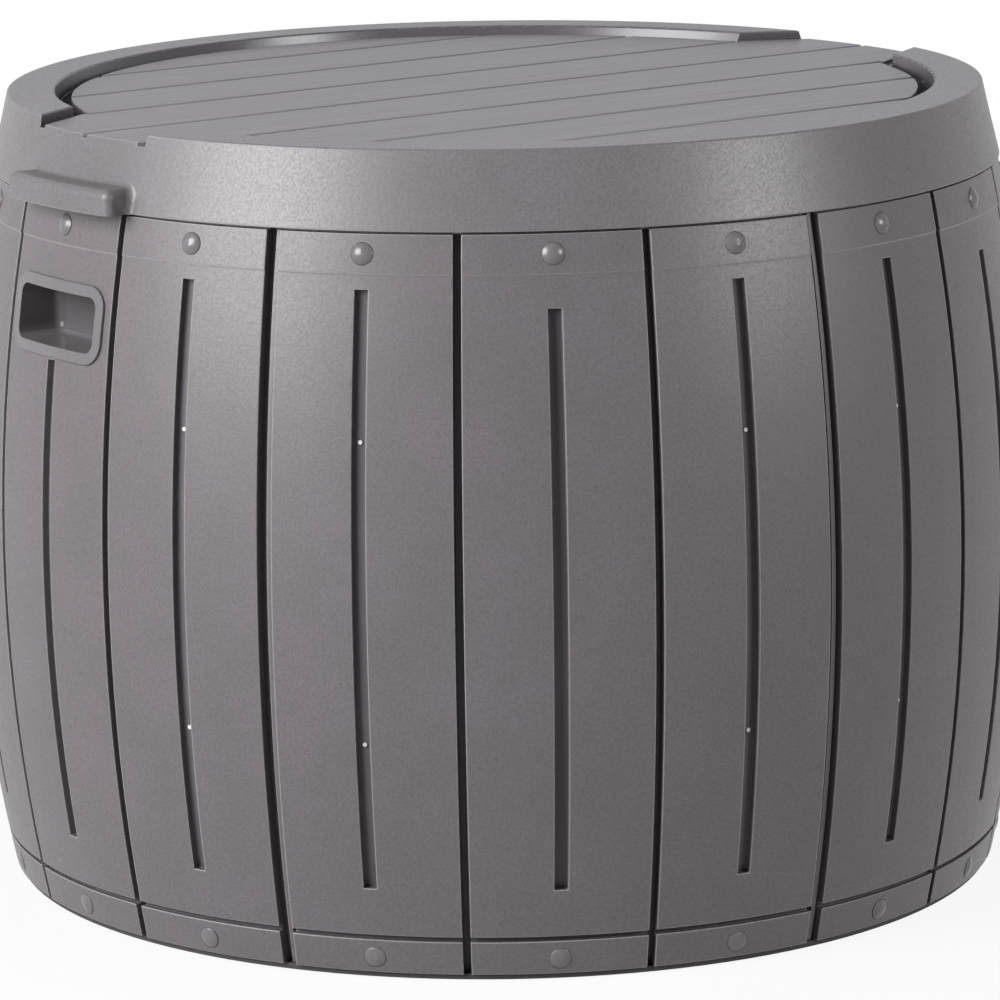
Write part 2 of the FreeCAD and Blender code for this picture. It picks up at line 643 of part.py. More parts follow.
def rounded_box(body, name, half, low, high, corner, reach):
    """A rectangle with round corners, square to X at a named distance from the box's axis."""
    sketch = new_sketch(body, name, "YZ_Plane")
    sketch.setExpression("AttachmentOffset.Base.z", cell(reach))
    radius = number(corner)
    side = number(half)
    inner = side - radius
    levels = (number(low), number(high))
    inner_levels = (levels[0] + radius, levels[1] - radius)
    lines = (((-inner, levels[0]), (inner, levels[0])), ((side, inner_levels[0]), (side, inner_levels[1])),
             ((inner, levels[1]), (-inner, levels[1])), ((-side, inner_levels[1]), (-side, inner_levels[0])))
    for start, end in lines:
        sketch.addGeometry(Part.LineSegment(FreeCAD.Vector(*start, 0), FreeCAD.Vector(*end, 0)))
    centres = ((inner, inner_levels[0]), (inner, inner_levels[1]),
               (-inner, inner_levels[1]), (-inner, inner_levels[0]))
    for index, centre in enumerate(centres):
        circle = Part.Circle(FreeCAD.Vector(*centre, 0), FreeCAD.Vector(0, 0, 1), radius)
        first = (index - 1) * math.pi / 2
        sketch.addGeometry(Part.ArcOfCircle(circle, first, first + math.pi / 2))
    for index in range(4):
        arc = index + 4
        sketch.addConstraint(Sketcher.Constraint("Tangent", index, 2, arc, 1))
        sketch.addConstraint(Sketcher.Constraint("Tangent", arc, 2, (index + 1) % 4, 1))
        sketch.addConstraint(Sketcher.Constraint("Vertical" if index % 2 else "Horizontal", index))
        bind(sketch, Sketcher.Constraint("Radius", arc, radius), f"corner{index}", cell(corner))
    bind(sketch, Sketcher.Constraint("DistanceX", -1, 1, 1, 1, side), "right", cell(half))
    bind(sketch, Sketcher.Constraint("DistanceX", 3, 1, -1, 1, side), "left", cell(half))
    bind(sketch, Sketcher.Constraint("DistanceY", -1, 1, 0, 1, levels[0]), "low", cell(low))
    bind(sketch, Sketcher.Constraint("DistanceY", -1, 1, 2, 1, levels[1]), "high", cell(high))
    return sketch


def make_handle_panel(label, source):
    """A wall panel whose middle slot stops short, under the hole for a handle cup."""
    body = clone(source, label)
    barrel_band(body, ADD, "slot_fill", "rib_root", "slot_rib_depth", "handle_slot_top", "middle_rib_top",
                "slot_rib_angle")
    barrel_band(body, ADD, "face_fill", None, "slot_depth", "handle_slot_top", "middle_rib_top",
                "slot_rib_angle")
    hole = rounded_box(body, "cup_hole", "hole_half", "hole_low", "hole_high", "cup_corner", "cup_back")
    extrude(body, POCKET, hole, "cup_length", reverse=True)
    return body


def make_seam_strip(label):
    """Dog-bone strip that locks two panel edges, with a nose that shows in the gap."""
    body = new_body(label)
    barrel_band(body, ADD, "tongue", "tongue_depth", "tongue_back", "panel_bottom", "shoulder_height",
                "tongue_angle")
    bead = barrel_band(body, ADD, "bead", "bead_front", "bead_back", "panel_bottom", "shoulder_height",
                       "bead_angle", "bead_turn")
    mirror(body, [bead])
    barrel_band(body, ADD, "nose", "strip_recess", "tongue_back", "panel_bottom", "shoulder_height",
                "nose_angle", "nose_turn")
    return body


def make_handle_cup(label):
    """Finger cup with a raised bezel that lies on the stave."""
    body = new_body(label)
    bezel = rounded_box(body, "bezel", "bezel_half", "bezel_low", "bezel_high", "bezel_corner", "cup_back")
    extrude(body, PAD, bezel, "cup_length")
    barrel_band(body, CUT, "bezel_under", "-bezel_gap", "bezel_trim", "bezel_trim_low", "bezel_trim_high",
                "bezel_angle")
    shell = rounded_box(body, "cup_shell", "cup_half", "cup_low", "cup_high", "cup_corner", "cup_back")
    extrude(body, PAD, shell, "cup_length")
    barrel_band(body, CUT, "bezel_face", "-bezel_trim", "-bezel_proud", "bezel_trim_low",
                "bezel_trim_high", "bezel_angle")
    well = rounded_box(body, "well", "well_half", "well_low", "well_high", "well_corner", "well_floor")
    extrude(body, POCKET, well, "well_length", reverse=True)
    floor = number("well_floor")
    round_edges(body, "well_rounding",
                lambda edge: all(abs(vertex.Point.x - floor) < SAME for vertex in edge.Vertexes))
    return body


def make_base_tray(label):
    """Floor with a foot ring, and a flared upstand that the ring of panels closes around."""
    body = new_body(label)
    profile = new_sketch(body, "base_profile")
    polygon(profile, ((None, "floor_height"), ("foot_inner", "floor_height"), ("foot_inner", None),
                      ("flange_radius", None), ("flange_radius", "foot_height"),
                      ("foot_outer", "foot_height"), ("foot_outer", "floor_top"), (None, "floor_top")))
    revolve(body, ADD, profile)
    upstand = new_sketch(body, "upstand")
    barrel_section(upstand, "upstand_face", "upstand_back", "foot_height", "upstand_height")
    revolve(body, ADD, upstand)
    rib = new_sketch(body, "floor_rib")
    polygon(rib, ((None, None), ("foot_inner", None), ("foot_inner", "floor_height"),
                  (None, "floor_height")))
    spoke = extrude(body, PAD, rib, "base_rib", both_ways=True)
    polar(body, [spoke], BASE_RIBS)
    return body


def level_sketch(body, name, level):
    """A sketch lying flat at a named level."""
    sketch = new_sketch(body, name, "XY_Plane")
    sketch.setExpression("AttachmentOffset.Base.z", cell(level))
    return sketch


def plank_groove(body, name, index):
    """Outline of a groove between planks, some planks off the middle of the deck."""
    sketch = new_sketch(body, name, "YZ_Plane")
    sketch.setExpression("AttachmentOffset.Base.x", f"{index} * Sizes.plank_pitch")
    polygon(sketch, (("-plank_half", "deck_level"), ("-plank_floor_half", "plank_cut_low"),
                     ("plank_floor_half", "plank_cut_low"), ("plank_half", "deck_level")))
    return sketch


def lip_edge(edge):
    """Whether an edge is one of a pull lip's upper or outer corners, or its root on the skirt."""
    points = [vertex.Point for vertex in edge.Vertexes]
    if any(abs(point.y) > number("lip_width") for point in points):
        return False
    heights = [point.z - number("skirt_bottom") for point in points]
    radii = [math.hypot(point.x, point.y) for point in points]
    if max(heights) < SAME or max(heights) > number("lip_height") + SAME:
        return False
    outside = all(abs(radius - number("lip_radius")) < SAME for radius in radii)
    above = all(abs(height - number("lip_height")) < SAME for height in heights)
    slope = number("skirt_slope")
    root = all(abs(number("skirt_radius") - slope * height - radius) < SAME
               for radius, height in zip(radii, heights))
    return outside or above or root


def make_lid(label):
    """Planked lid with a raised rim in two halves, a moat, a skirt and two pull lips."""
    body = new_body(label)
    profile = new_sketch(body, "lid_profile")
    polygon(profile, ((None, "deck_level"), ("deck_radius", "deck_level"), ("deck_radius", "moat_floor"),
                      ("rim_inner_radius", "moat_floor"), ("rim_inner_top", "lid_height"),
                      ("rim_radius", "lid_height"), ("skirt_radius", "skirt_bottom"),
                      ("skirt_inner_low", "skirt_bottom"), ("skirt_inner_high", "plate_under"),
                      ("moat_outer_back", "plate_under"), ("moat_outer_back", "moat_back"),
                      ("moat_inner_back", "moat_back"), ("moat_inner_back", "plate_under"),
                      (None, "plate_under")))
    revolve(body, ADD, profile)

    # Each end of the deck runs out through a gap in the rim, level with the planks.
    gap = level_sketch(body, "rim_gap_cut", "deck_level")
    polygon(gap, (("gap_deck_reach", "-gap_deck_half"), ("skirt_radius", "-gap_skirt_half"),
                  ("skirt_radius", "gap_skirt_half"), ("gap_deck_reach", "gap_deck_half")))
    opening = extrude(body, POCKET, gap, "gap_cut", reverse=True)
    polar(body, [opening], 2)
    sill = level_sketch(body, "rim_gap_sill", "moat_floor")
    polygon(sill, (("gap_deck_reach", "-gap_deck_half"), ("moat_outer_back", "-gap_rim_half"),
                   ("moat_outer_back", "gap_rim_half"), ("gap_deck_reach", "gap_deck_half")))
    fill = extrude(body, PAD, sill, "moat_depth")
    polar(body, [fill], 2)
    rim_top = number("lid_height")
    round_edges(body, "rim_rounding",
                lambda edge: all(abs(vertex.Point.z - rim_top) < SAME for vertex in edge.Vertexes))

    for side, sign in (("left", ""), ("right", "-")):
        drain = level_sketch(body, f"drain_{side}", "drain_floor")
        polygon(drain, (("drain_reach", sign + "drain_reach_half"), ("skirt_radius", sign + "gap_skirt_half"),
                        ("skirt_radius", sign + "drain_skirt_half"), ("drain_reach", sign + "drain_inner_half")))
        polar(body, [extrude(body, POCKET, drain, "drain_depth", reverse=True)], 2)

    # Plank grooves: the middle one runs out at both ends, the others stop in the moat.
    middle = plank_groove(body, "middle_groove", 0)
    extrude(body, POCKET, middle, "plank_length", both_ways=True)
    outer = []
    for index in range(1, int(number("deck_radius") // number("plank_pitch")) + 1):
        groove = plank_groove(body, f"groove_{index}", index)
        length = f"2 * sqrt(Fits.moat_middle^2 - ({index} * Sizes.plank_pitch)^2)"
        outer.append(extrude(body, POCKET, groove, length, both_ways=True))
    mirror(body, outer)

    # Stiffening ribs under the deck.
    rib = new_sketch(body, "deck_rib")
    polygon(rib, ((None, "lid_rib_foot"), ("moat_outer_back", "lid_rib_foot"),
                  ("moat_outer_back", "plate_under"), (None, "plate_under")))
    spoke = extrude(body, PAD, rib, "lid_rib", both_ways=True)
    polar(body, [spoke], LID_RIBS)

    # Pull lips over the handles.
    lip = new_sketch(body, "pull_lip")
    polygon(lip, (("lip_root_low", "skirt_bottom"), ("lip_radius", "skirt_bottom"),
                  ("lip_radius", "lip_top"), ("lip_root_high", "lip_top")))
    pull = revolve(body, ADD, lip, "lip_angle")
    polar(body, [pull], 2)
    round_edges(body, "lip_rounding", lip_edge)
    return body


def clone(source, label, angle=0):
    """A body that starts as a copy of another, turned about Z."""
    body = new_body(label)
    copy = body.newObject("PartDesign::FeatureBase", label + "_copy")
    copy.BaseFeature = source
    body.Tip = copy
    turn(body, angle)
    doc.recompute()
    return body


def turn(body, angle):
    """Place a body at an angle about Z."""
    body.Placement = FreeCAD.Placement(FreeCAD.Vector(), FreeCAD.Rotation(FreeCAD.Vector(0, 0, 1), angle))


plain = make_wall_panel("wall_panel_back_right")
handled = make_handle_panel("wall_panel_right", plain)
strip = make_seam_strip("seam_strip_1")
cup = make_handle_cup("handle_cup_right")
lid = make_lid("lid")
nodes = [
    make_base_tray("base_tray"),
    plain,
    handled,
    clone(plain, "wall_panel_back_left", 2 * 360 / PANELS),
    clone(handled, "wall_panel_left", 180),
    clone(plain, "wall_panel_front_left", 4 * 360 / PANELS),
    clone(plain, "wall_panel_front_right", 5 * 360 / PANELS),
    strip,
    cup,
    clone(cup, "handle_cup_left", 180),
    make_rivets("upper_rivets", UPPER_RIVET, "upper_dome"),
    make_rivets("lower_rivets", LOWER_RIVET, "lower_dome"),
    lid,
]
for index in range(1, PANELS):
    nodes.append(clone(strip, f"seam_strip_{index + 1}", (index + 0.5) * 360 / PANELS))
turn(plain, 360 / PANELS)
turn(strip, 0.5 * 360 / PANELS)
turn(lid, LID_TURN)
doc.recompute()

for item in doc.Objects:
    if "Invalid" in item.State or "Error" in item.State:
        raise RuntimeError(f"{item.Name} did not recompute")
os.makedirs("parts", exist_ok=True)
for body in nodes:
    if body.Shape.isNull() or not body.Shape.isValid():
        raise RuntimeError(f"{body.Label} has no valid shape")
    body.Shape.exportStep(f"parts/{body.Label}.step")
    print(body.Label, len(body.Shape.Solids), round(body.Shape.Volume / 1000, 1), body.Shape.BoundBox)
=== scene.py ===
"""Dressed scene of a barrel-shaped outdoor storage box with a planked lift-off lid.

Metres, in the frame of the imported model: the origin is on the floor at the
middle of the box, +Z is up, and the handle cups lie on the X axis.
"""

import logging
import math
from dataclasses import dataclass, field
from enum import Enum
from typing import Any

import bpy
from mathutils import Matrix, Vector


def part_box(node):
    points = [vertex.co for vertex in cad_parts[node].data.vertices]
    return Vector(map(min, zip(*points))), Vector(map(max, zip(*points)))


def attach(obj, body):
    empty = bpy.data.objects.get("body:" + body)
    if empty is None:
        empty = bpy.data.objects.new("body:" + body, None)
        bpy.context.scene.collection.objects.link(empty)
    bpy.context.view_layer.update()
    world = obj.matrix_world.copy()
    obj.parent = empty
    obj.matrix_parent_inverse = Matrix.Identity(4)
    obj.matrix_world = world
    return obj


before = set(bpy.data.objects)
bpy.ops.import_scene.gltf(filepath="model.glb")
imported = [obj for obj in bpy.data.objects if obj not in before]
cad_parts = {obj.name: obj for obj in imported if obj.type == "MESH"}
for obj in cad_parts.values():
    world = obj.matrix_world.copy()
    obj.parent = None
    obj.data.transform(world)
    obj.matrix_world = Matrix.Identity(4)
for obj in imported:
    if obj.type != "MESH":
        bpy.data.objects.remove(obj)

LOG = logging.getLogger("storage_box")
MM = 0.001
WHITE = "#ffffff"
DUST_COLOUR = "#433f42"
# Pale colour mixed in along edges as a painted highlight.
EDGE_HIGHLIGHT_COLOUR = "#b9b4b7"
POLYPROPYLENE_IOR = 1.49
# Flow clouds are about three fingers across.
CLOUD_MM = 45.0
# Parts of the noise's range over which the clouds, the grain's hollows and its gloss run.
CLOUD_RANGE = (0.35, 0.65)
HOLLOW_RANGE = (0.6, 0.35)
GLOSS_RANGE = (0.3, 0.7)
# Cosines between the rounded and the flat normal: where an edge's painted highlight starts, and
# where it is at full strength.
EDGE_TURN = (0.995, 0.75)
BEVEL_SAMPLES = 4
# Share of etched grain in the brushed strokes.
GRAIN_IN_STROKES = 0.35
# Upward lean from which a face counts as level.
LEVEL = 0.7
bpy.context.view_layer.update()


def linear(hex_colour: str) -> tuple[float, float, float, float]:
    """Turn an sRGB hex colour into linear light.

    Args:
        hex_colour: Six hex digits, with or without a leading hash sign.

    Returns:
        Linear red, green, blue and an alpha of one.
    """
    digits = hex_colour.lstrip("#")
    channels = [int(digits[index:index + 2], 16) / 255 for index in (0, 2, 4)]
    bent = [c / 12.92 if c <= 0.04045 else ((c + 0.055) / 1.055) ** 2.4 for c in channels]
    return (bent[0], bent[1], bent[2], 1.0)


def add_node(tree: bpy.types.NodeTree, kind: str, inputs: dict[Any, Any] | None = None,
             **settings: Any) -> bpy.types.Node:
    """Add a node with its settings, and set or link its inputs.

    Args:
        tree: The node tree that gets the node.
        kind: Blender's name of the node's type.
        inputs: Input names or numbers, each with a value or with a socket to link from.
        **settings: Properties of the node itself.

    Returns:
        The new node.
    """
    node = tree.nodes.new(kind)
    for name, value in settings.items():
        setattr(node, name, value)
    for name, value in (inputs or {}).items():
        if isinstance(value, bpy.types.NodeSocket):
            tree.links.new(value, node.inputs[name])
        else:
            node.inputs[name].default_value = value
    return node


class Side(Enum):
    """Which side of the mould a face of a moulding came from."""

    SHOW = 0
    RECESS = 1
    CORE = 2


class LidFinish(Enum):
    """Which of the lid's materials a face has."""

    SKIRT = 0
    DECK = 1
    UNDER = 2
    RIM_WALL = 3
    RIM_TOP = 4
    MOAT_FLOOR = 5


@dataclass(frozen=True)
class Resin:
    """Injection-moulded polypropylene with its grain, mottling, and softened edges with a painted
    highlight along them.

    Attributes:
        name: The material's name.
        colour: sRGB hex colour of the moulding.
        mottle: sRGB hex colour of the slow clouds in it.
        roughness: Roughness of the skin between the grains.
        grain_mm: Width of one grain of the mould's etched texture.
        grain_depth_mm: Height of that grain.
        fleck: How much the colour drifts from grain to grain, from 0 to 1.
        edge_mm: Radius that the mould leaves on edges.
        edge_highlight: How much paler the painted highlight along edges is, from 0 to 1.
        specular: Strength of the sheen; a half is clean resin, and less dims the reflections so
            that painted shade in recesses stays dark.
        gloss_drift: How far the roughness strays from grain to grain.
    """

    name: str
    colour: str
    mottle: str
    roughness: float
    grain_mm: float
    grain_depth_mm: float
    fleck: float = 0.0
    edge_mm: float = 1.2
    edge_highlight: float = 0.45
    specular: float = 0.5
    gloss_drift: float = 0.05

    def build(self) -> bpy.types.Material:
        """Make the material.

        Returns:
            A material that reads Object coordinates only.
        """
        material = bpy.data.materials.new(self.name)
        material.use_nodes = True
        tree = material.node_tree
        shader = tree.nodes["Principled BSDF"]
        place = add_node(tree, "ShaderNodeTexCoord").outputs["Object"]
        height = self.relief(tree, place)
        rounded = add_node(tree, "ShaderNodeBevel", {"Radius": self.edge_mm * MM},
                           samples=BEVEL_SAMPLES)
        colour = self.clouds(tree, place)
        colour = self.flecks(tree, colour, height)
        colour = self.painted_edge_highlights(tree, colour, rounded.outputs["Normal"])
        bump = add_node(tree, "ShaderNodeBump", {
            "Height": height, "Distance": self.grain_depth_mm * MM, "Strength": 1.0,
            "Normal": rounded.outputs["Normal"]})
        tree.links.new(colour, shader.inputs["Base Color"])
        tree.links.new(self.gloss(tree, height), shader.inputs["Roughness"])
        tree.links.new(bump.outputs["Normal"], shader.inputs["Normal"])
        shader.inputs["IOR"].default_value = POLYPROPYLENE_IOR
        shader.inputs["Specular IOR Level"].default_value = self.specular
        return material

    def clouds(self, tree: bpy.types.NodeTree, place: bpy.types.NodeSocket) -> bpy.types.NodeSocket:
        """Slow colour drift left by the melt's flow.

        Args:
            tree: The material's nodes.
            place: Object coordinates.

        Returns:
            The colour socket.
        """
        drift = add_node(tree, "ShaderNodeTexNoise", {
            "Vector": place, "Scale": 1 / (CLOUD_MM * MM), "Detail": 3.0, "Roughness": 0.6})
        spread = add_node(tree, "ShaderNodeMapRange", {
            "Value": drift.outputs["Fac"],
            "From Min": CLOUD_RANGE[0], "From Max": CLOUD_RANGE[1]})
        mix = add_node(tree, "ShaderNodeMix", {
            "Factor": spread.outputs["Result"], "A": linear(self.colour), "B": linear(self.mottle)},
            data_type="RGBA")
        return mix.outputs["Result"]

    def relief(self, tree: bpy.types.NodeTree, place: bpy.types.NodeSocket) -> bpy.types.NodeSocket:
        """Height of the etched grain.

        Args:
            tree: The material's nodes.
            place: Object coordinates.

        Returns:
            The height socket.
        """
        grain = add_node(tree, "ShaderNodeTexNoise", {
            "Vector": place, "Scale": 1 / (self.grain_mm * MM), "Detail": 2.0, "Roughness": 0.55})
        return grain.outputs["Fac"]

    def flecks(self, tree: bpy.types.NodeTree, colour: bpy.types.NodeSocket,
               height: bpy.types.NodeSocket) -> bpy.types.NodeSocket:
        """Darken the hollows of the grain, where dust settles.

        Args:
            tree: The material's nodes.
            colour: Colour of the resin.
            height: Height of the grain.

        Returns:
            The colour socket.
        """
        hollow = add_node(tree, "ShaderNodeMapRange", {
            "Value": height, "From Min": HOLLOW_RANGE[0], "From Max": HOLLOW_RANGE[1],
            "To Min": 0.0, "To Max": self.fleck})
        mix = add_node(tree, "ShaderNodeMix", {
            "Factor": hollow.outputs["Result"], "A": colour, "B": linear(DUST_COLOUR)},
            data_type="RGBA")
        return mix.outputs["Result"]

    def gloss(self, tree: bpy.types.NodeTree, height: bpy.types.NodeSocket) -> bpy.types.NodeSocket:
        """Roughness that is a little lower on the tops of the grain.

        Args:
            tree: The material's nodes.
            height: Height of the grain.

        Returns:
            The roughness socket.
        """
        spread = add_node(tree, "ShaderNodeMapRange", {
            "Value": height, "From Min": GLOSS_RANGE[0], "From Max": GLOSS_RANGE[1],
            "To Min": self.roughness + self.gloss_drift,
            "To Max": self.roughness - self.gloss_drift})
        return spread.outputs["Result"]

    def painted_edge_highlights(self, tree: bpy.types.NodeTree, colour: bpy.types.NodeSocket,
                     rounded: bpy.types.NodeSocket) -> bpy.types.NodeSocket:
        """Painted highlight: paler colour where the rounded normal leaves the face's own normal,
        along edges.

        Args:
            tree: The material's nodes.
            colour: Colour of the open face.
            rounded: Normal of the softened edges.

        Returns:
            The colour socket.
        """
        face = add_node(tree, "ShaderNodeNewGeometry").outputs["Normal"]
        turn = add_node(tree, "ShaderNodeVectorMath", {0: rounded, 1: face},
                        operation="DOT_PRODUCT")
        edge = add_node(tree, "ShaderNodeMapRange", {
            "Value": turn.outputs["Value"], "From Min": EDGE_TURN[0], "From Max": EDGE_TURN[1],
            "To Min": 0.0, "To Max": self.edge_highlight})
        pale = add_node(tree, "ShaderNodeMix", {
            "Factor": edge.outputs["Result"], "A": colour, "B": linear(EDGE_HIGHLIGHT_COLOUR)},
            data_type="RGBA")
        return pale.outputs["Result"]


@dataclass(frozen=True)
class BrushedResin(Resin):
    """Polypropylene whose mould was brushed along the planks, like fine wood grain.

    Attributes:
        stroke_mm: Length, width and height of one stroke.
        turn: Degrees that the strokes are turned from the X axis, with the lid.
    """

    stroke_mm: tuple[float, float, float] = (150.0, 1.6, 1.6)
    turn: float = 1.3

    def relief(self, tree: bpy.types.NodeTree, place: bpy.types.NodeSocket) -> bpy.types.NodeSocket:
        """Height of the strokes, with a little of the etched grain over them.

        Args:
            tree: The material's nodes.
            place: Object coordinates.

        Returns:
            The height socket.
        """
        stretched = add_node(tree, "ShaderNodeMapping", {
            "Vector": place, "Scale": [size * MM for size in self.stroke_mm],
            "Rotation": (0.0, 0.0, math.radians(self.turn))}, vector_type="TEXTURE")
        strokes = add_node(tree, "ShaderNodeTexNoise", {
            "Vector": stretched.outputs["Vector"], "Scale": 1.0, "Detail": 3.0, "Roughness": 0.6})
        grain = super().relief(tree, place)
        both = add_node(tree, "ShaderNodeMix", {
            "Factor": GRAIN_IN_STROKES, "A": strokes.outputs["Fac"], "B": grain}, data_type="FLOAT")
        return both.outputs["Result"]


# Etched polypropylene: a dull, even grey with a faint purple cast and a sparkle of fine grain.
# The real grain is about 0.5 mm and too fine to show, so it is drawn three times as coarse.
STAVE_RESIN = Resin("polypropylene_etched_stave", "#5c575a", "#585456", 0.41, 1.4, 0.06, fleck=0.45,
                    edge_highlight=0.75)
# The lid's skirt: the same etch on a slightly paler batch of resin.
SKIRT_RESIN = Resin("polypropylene_etched_skirt", "#625e61", "#5e5b5d", 0.41, 1.4, 0.06, fleck=0.4,
                    edge_highlight=0.55)
# Top of the rim: the skirt's etch, painted a little paler and cooler for the cool light from above
# that falls on level faces.
RIM_TOP_LIT_RESIN = Resin("polypropylene_rim_painted_top_light", "#66626a", "#625f66", 0.41, 1.4, 0.06, fleck=0.4,
                  edge_highlight=0.55)
# The deck's planks: brushed along their length, with a soft sheen across the strokes. Their cool
# tone is partly painted light, for the cool light from above on level faces.
DECK_RESIN = BrushedResin("polypropylene_brushed_plank", "#6a666f", "#66636b", 0.42, 1.5, 0.05,
                          fleck=0.35)
# Floors of the slots: smooth, with a slightly darker colour and a weak sheen as painted shade, so
# that their shaded parts stay dark.
SLOT_SHADE_RESIN = Resin("polypropylene_slot_painted_shade", "#59555a", "#535054", 0.6, 2.4, 0.004,
                   edge_highlight=0.0, specular=0.2)
# Rivet caps, handle bezels and floors: polished mould, smooth and half glossy.
SMOOTH_RESIN = Resin("polypropylene_polished_cap", "#5f5b5e", "#5b585a", 0.28, 3.0, 0.001,
                     edge_mm=0.7, edge_highlight=0.0, gloss_drift=0.008)
# The rim's inner wall: as polished, and painted darker for the shade that falls on it over the
# moat.
RIM_WALL_SHADE_RESIN = Resin("polypropylene_polished_rim_wall_painted_shade", "#474348", "#444146", 0.28, 3.0, 0.001,
                       edge_mm=0.7, edge_highlight=0.0, gloss_drift=0.008)
# Floor of the moat: dull, with a weak sheen, and painted dark for the shade that lies in it.
MOAT_SHADE_RESIN = Resin("polypropylene_moat_painted_shade", "#423e43", "#3e3b3f", 0.8, 2.4, 0.004,
                   edge_highlight=0.0, specular=0.05)
# Walls of the handle cups: polished mould, painted darker and given a weak sheen as painted shade,
# so the cup's depth stays dark.
CUP_SHADE_RESIN = Resin("polypropylene_cup_painted_shade", "#534f52", "#4f4c4e", 0.24, 3.0, 0.001, edge_mm=0.7,
                  edge_highlight=0.0, specular=0.25, gloss_drift=0.008)
# Inside of the walls and the lid: the mould's plain core side, with drawing marks worn smooth.
CORE_RESIN = Resin("polypropylene_core_side", "#6a6669", "#666365", 0.5, 1.6, 0.03, fleck=0.15)
# Base tray: the same resin from a rough mould, painted darker for the shade that falls under the
# walls.
BASE_SHADE_RESIN = Resin("polypropylene_rough_base_painted_shade", "#3e3a3c", "#393638", 0.7, 1.2, 0.08, fleck=0.1,
                   edge_highlight=0.1, specular=0.3)
# Gate marks: resin torn white where the sprue broke off.
TORN_RESIN = Resin("polypropylene_torn_gate", "#d2cfd1", "#c2bfc1", 0.5, 0.3, 0.05, edge_mm=0.1,
                   edge_highlight=0.0)


def dress(node: str, *materials: bpy.types.Material) -> bpy.types.Object:
    """Give a CAD node its materials.

    Args:
        node: The node's name.
        *materials: The materials, in the order of its slots.

    Returns:
        The node's object.
    """
    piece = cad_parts[node]
    piece.data.materials.clear()
    for material in materials:
        piece.data.materials.append(material)
    LOG.info("dressed %s", node)
    return piece


@dataclass
class Barrel:
    """Outline of the staves: an arc turned round the box's axis.

    Attributes:
        belly_radius: Radius at the belly.
        belly_height: Height of the belly above the floor.
        bulge_radius: Radius of the arc.
    """

    belly_radius: float = 0.300
    belly_height: float = 0.200
    bulge_radius: float = 0.93673

    def radius(self, height: float, depth: float = 0.0) -> float:
        """Distance of a stave's face from the axis.

        Args:
            height: Height above the floor.
            depth: How far below the face, square to it.

        Returns:
            The radius in metres.
        """
        reach = math.sqrt((self.bulge_radius - depth) ** 2 - (height - self.belly_height) ** 2)
        return self.belly_radius - self.bulge_radius + reach

    def slope(self, height: float) -> float:
        """Angle in radians by which a stave's face looks up at a height."""
        return math.asin((height - self.belly_height) / self.bulge_radius)


@dataclass
class Walls:
    """Base tray, stave panels, seam strips, rivets and handle cups.

    Attributes:
        barrel: Outline of the staves.
        panels: Nodes of the stave panels.
        strips: Number of seam strips.
        recess: Depth from which a face counts as the floor of a slot or gap.
        bezel_root: Height over the stave from which a handle's face counts as its bezel.
        core_facing: Outward lean of a face below which it is on the mould's core side.
        floor_facing: Outward lean of a face from which it can be the floor of a slot.
    """

    barrel: Barrel
    panels: tuple[str, ...] = (
        "right", "back_right", "back_left", "left", "front_left", "front_right")
    strips: int = 6
    recess: float = 0.0035
    bezel_root: float = 0.0003
    core_facing: float = -0.3
    floor_facing: float = 0.5

    def build(self) -> None:
        """Dress every node of the box."""
        stave = STAVE_RESIN.build()
        slot = SLOT_SHADE_RESIN.build()
        core = CORE_RESIN.build()
        for side in self.panels:
            self.finish_sides(dress(f"wall_panel_{side}", stave, slot, core))
        smooth = SMOOTH_RESIN.build()
        for index in range(1, self.strips + 1):
            dress(f"seam_strip_{index}", stave)
        for node in ("upper_rivets", "lower_rivets"):
            dress(node, smooth)
        cup = CUP_SHADE_RESIN.build()
        for side in ("left", "right"):
            self.finish_cup(dress(f"handle_cup_{side}", smooth, cup))
        dress("base_tray", BASE_SHADE_RESIN.build())

    def finish_sides(self, panel: bpy.types.Object) -> None:
        """Give each face of a panel the finish of the mould's side that it came from.

        Args:
            panel: The panel's object.
        """
        for face in panel.data.polygons:
            face.material_index = self.side_of(face.center, face.normal).value

    def finish_cup(self, handle: bpy.types.Object) -> None:
        """Give a handle's bezel and floor the polish of the rivets, and its walls the darker finish
        painted with the cup's shade.

        Args:
            handle: The handle cup's object.
        """
        for face in handle.data.polygons:
            reach = math.hypot(face.center.x, face.center.y)
            sunk = reach < self.barrel.radius(face.center.z) + self.bezel_root
            face.material_index = int(sunk and face.normal.z < LEVEL)

    def side_of(self, centre: Vector, normal: Vector) -> Side:
        """Tell the outside of a stave from its slot floors and its inside.

        Args:
            centre: Middle of the face.
            normal: Its outward direction.

        Returns:
            The side of the mould.
        """
        reach = math.hypot(centre.x, centre.y)
        outward = (centre.x * normal.x + centre.y * normal.y) / reach
        if outward < self.core_facing:
            return Side.CORE
        if outward > self.floor_facing and self.barrel.radius(centre.z) - reach > self.recess:
            return Side.RECESS
        return Side.SHOW


